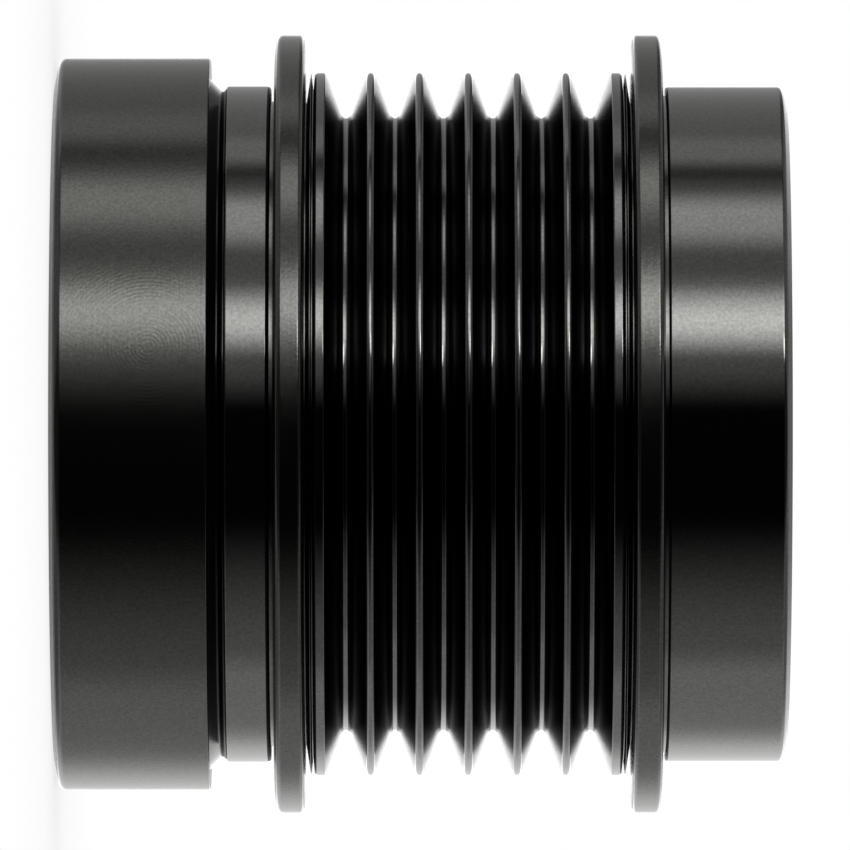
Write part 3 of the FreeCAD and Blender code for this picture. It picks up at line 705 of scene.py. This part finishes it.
def tent_material():
    """Light of the tent by direction: upright sheets, round soft boxes, a dim roof and ground."""
    material, output = new_material("light_tent_cloth")
    tree = material.node_tree
    place = add(tree, "ShaderNodeTexCoord").outputs["Object"]
    flat = add(tree, "ShaderNodeVectorMath", {"operation": "MULTIPLY"}, {0: place, 1: (1, 1, 0)})
    level = add(tree, "ShaderNodeVectorMath", {"operation": "NORMALIZE"}, {0: flat.outputs[0]})
    way = add(tree, "ShaderNodeVectorMath", {"operation": "NORMALIZE"}, {0: place})
    split = add(tree, "ShaderNodeSeparateXYZ", None, {0: way.outputs[0]})
    roof = add(tree, "ShaderNodeMapRange", {"interpolation_type": "SMOOTHSTEP"}, {
        "Value": split.outputs["Z"], "From Min": ROOF_FADE[0], "From Max": ROOF_FADE[1],
        "To Min": 0.0, "To Max": ROOF,
    })
    ground = add(tree, "ShaderNodeMapRange", {"interpolation_type": "SMOOTHSTEP"}, {
        "Value": split.outputs["Z"], "From Min": GROUND_FADE[0], "From Max": GROUND_FADE[1],
        "To Min": GROUND_GLOW, "To Max": 0.0,
    })
    glow = add(tree, "ShaderNodeMath", {"operation": "ADD"}, {
        0: roof.outputs[0], 1: ground.outputs[0],
    })
    ahead = add(tree, "ShaderNodeVectorMath", {"operation": "DOT_PRODUCT"}, {
        0: level.outputs[0], 1: SHADE_MIDDLE,
    })
    aside = add(tree, "ShaderNodeMapRange", {"interpolation_type": "SMOOTHSTEP"}, {
        "Value": ahead.outputs["Value"], "From Min": SHADE_FADE[0], "From Max": SHADE_FADE[1],
        "To Min": 1.0, "To Max": CAMERA_SHADE,
    })
    light = add(tree, "ShaderNodeMath", {"operation": "MULTIPLY_ADD"}, {
        0: glow.outputs[0], 1: aside.outputs[0], 2: CLOTH,
    })
    for _, azimuth, half, edge, strength, middle, reach, end in SHEETS:
        a = math.radians(azimuth)
        near = add(tree, "ShaderNodeVectorMath", {"operation": "DOT_PRODUCT"}, {
            0: level.outputs[0], 1: (-math.sin(a), -math.cos(a), 0),
        })
        away = add(tree, "ShaderNodeMath", {"operation": "ARCCOSINE"}, {0: near.outputs["Value"]})
        across = add(tree, "ShaderNodeMapRange", {"interpolation_type": "SMOOTHSTEP"}, {
            "Value": away.outputs[0], "From Min": math.radians(half),
            "From Max": math.radians(half + edge), "To Min": strength, "To Max": 0.0,
        })
        over = add(tree, "ShaderNodeMath", {"operation": "SUBTRACT"}, {
            0: split.outputs["Z"], 1: middle,
        })
        off = add(tree, "ShaderNodeMath", {"operation": "ABSOLUTE"}, {0: over.outputs[0]})
        upward = add(tree, "ShaderNodeMapRange", {"interpolation_type": "SMOOTHSTEP"}, {
            "Value": off.outputs[0], "From Min": reach, "From Max": reach + end,
            "To Min": 1.0, "To Max": 0.0,
        })
        light = add(tree, "ShaderNodeMath", {"operation": "MULTIPLY_ADD"}, {
            0: across.outputs[0], 1: upward.outputs[0], 2: light.outputs[0],
        })
    for _, azimuth, elevation, half, edge, strength in SOFT_BOXES:
        a, e = math.radians(azimuth), math.radians(elevation)
        near = add(tree, "ShaderNodeVectorMath", {"operation": "DOT_PRODUCT"}, {
            0: way.outputs[0],
            1: (-math.sin(a) * math.cos(e), -math.cos(a) * math.cos(e), math.sin(e)),
        })
        away = add(tree, "ShaderNodeMath", {"operation": "ARCCOSINE"}, {0: near.outputs["Value"]})
        round_box = add(tree, "ShaderNodeMapRange", {"interpolation_type": "SMOOTHSTEP"}, {
            "Value": away.outputs[0], "From Min": math.radians(half),
            "From Max": math.radians(half + edge), "To Min": strength, "To Max": 0.0,
        })
        light = add(tree, "ShaderNodeMath", {"operation": "ADD"}, {
            0: light.outputs[0], 1: round_box.outputs[0],
        })
    cloth = add(tree, "ShaderNodeEmission", None, {"Strength": light.outputs[0]})
    tree.links.new(cloth.outputs[0], output.inputs[0])
    return material


def floor_material():
    """Pale matt board that shows the pulley's soft shadow and fades to plain white outwards."""
    material, output = new_material("white_board")
    tree = material.node_tree
    place = add(tree, "ShaderNodeTexCoord").outputs["Object"]
    away = add(tree, "ShaderNodeVectorMath", {"operation": "LENGTH"}, {0: place})
    plain = add(tree, "ShaderNodeMapRange", {"interpolation_type": "SMOOTHSTEP"}, {
        "Value": away.outputs["Value"], "From Min": BOARD_FADE[0], "From Max": BOARD_FADE[1],
        "To Min": BOARD_WHITE, "To Max": 1.0,
    })
    path = add(tree, "ShaderNodeLightPath")
    mirrored = add(tree, "ShaderNodeMath", {"operation": "ADD"}, {
        0: path.outputs["Is Camera Ray"], 1: path.outputs["Is Glossy Ray"],
    })
    seen = add(tree, "ShaderNodeMath", {"operation": "ADD"}, {
        0: mirrored.outputs[0], 1: path.outputs["Is Transmission Ray"],
    })
    share = add(tree, "ShaderNodeMath", {"operation": "MULTIPLY"}, {
        0: plain.outputs[0], 1: seen.outputs[0],
    })
    board = add(tree, "ShaderNodeBsdfDiffuse", None, {"Color": colour("#F2F2F2")})
    white = add(tree, "ShaderNodeEmission", None, {"Color": (1, 1, 1, 1), "Strength": 1.0})
    mix = add(tree, "ShaderNodeMixShader", None, {
        0: share.outputs[0], 1: board.outputs[0], 2: white.outputs[0],
    })
    tree.links.new(mix.outputs[0], output.inputs[0])
    return material


bpy.ops.mesh.primitive_circle_add(vertices=128, radius=FLOOR_RADIUS, fill_type="NGON")
floor = bpy.context.object
floor.name = "floor"
floor.data.materials.append(floor_material())
floor.visible_glossy = False
bpy.ops.mesh.primitive_uv_sphere_add(segments=96, ring_count=48, radius=TENT_RADIUS)
tent = bpy.context.object
tent.name = "light_tent"
tent.data.materials.append(tent_material())
tent.visible_camera = False
lamp_light = bpy.data.lights.new("overhead_lamp", "AREA")
lamp_light.size = LAMP_SIZE
lamp_light.energy = LAMP_POWER
lamp = bpy.data.objects.new("overhead_lamp", lamp_light)
bpy.context.scene.collection.objects.link(lamp)
lamp.location = (0, 0, LAMP_HEIGHT)
lamp.visible_camera = False
lamp.visible_glossy = False

world = bpy.data.worlds.new("white_background")
world.use_nodes = True
world.node_tree.nodes.clear()
sky = add(world.node_tree, "ShaderNodeBackground", None, {"Color": (1, 1, 1, 1), "Strength": 1.0})
add(world.node_tree, "ShaderNodeOutputWorld", None, {0: sky.outputs[0]})
bpy.context.scene.world = world
bpy.context.scene.view_settings.view_transform = "Standard"

# Camera: level with the pulley's middle, rolled so that the axis lies across the picture. Its
# place is in metres.
CAMERA_ASIDE = 0.00006
CAMERA_DISTANCE = 1.266
CAMERA_LEVEL = 0.02703
lens = bpy.data.cameras.new("camera")
lens.sensor_width = 36
lens.lens = 733
lens.clip_end = 10
camera = bpy.data.objects.new("camera", lens)
bpy.context.scene.collection.objects.link(camera)
camera.matrix_world = Matrix((
    (0, -1, 0, CAMERA_ASIDE),
    (0, 0, -1, -CAMERA_DISTANCE),
    (1, 0, 0, CAMERA_LEVEL),
    (0, 0, 0, 1),
))
bpy.context.scene.camera = camera
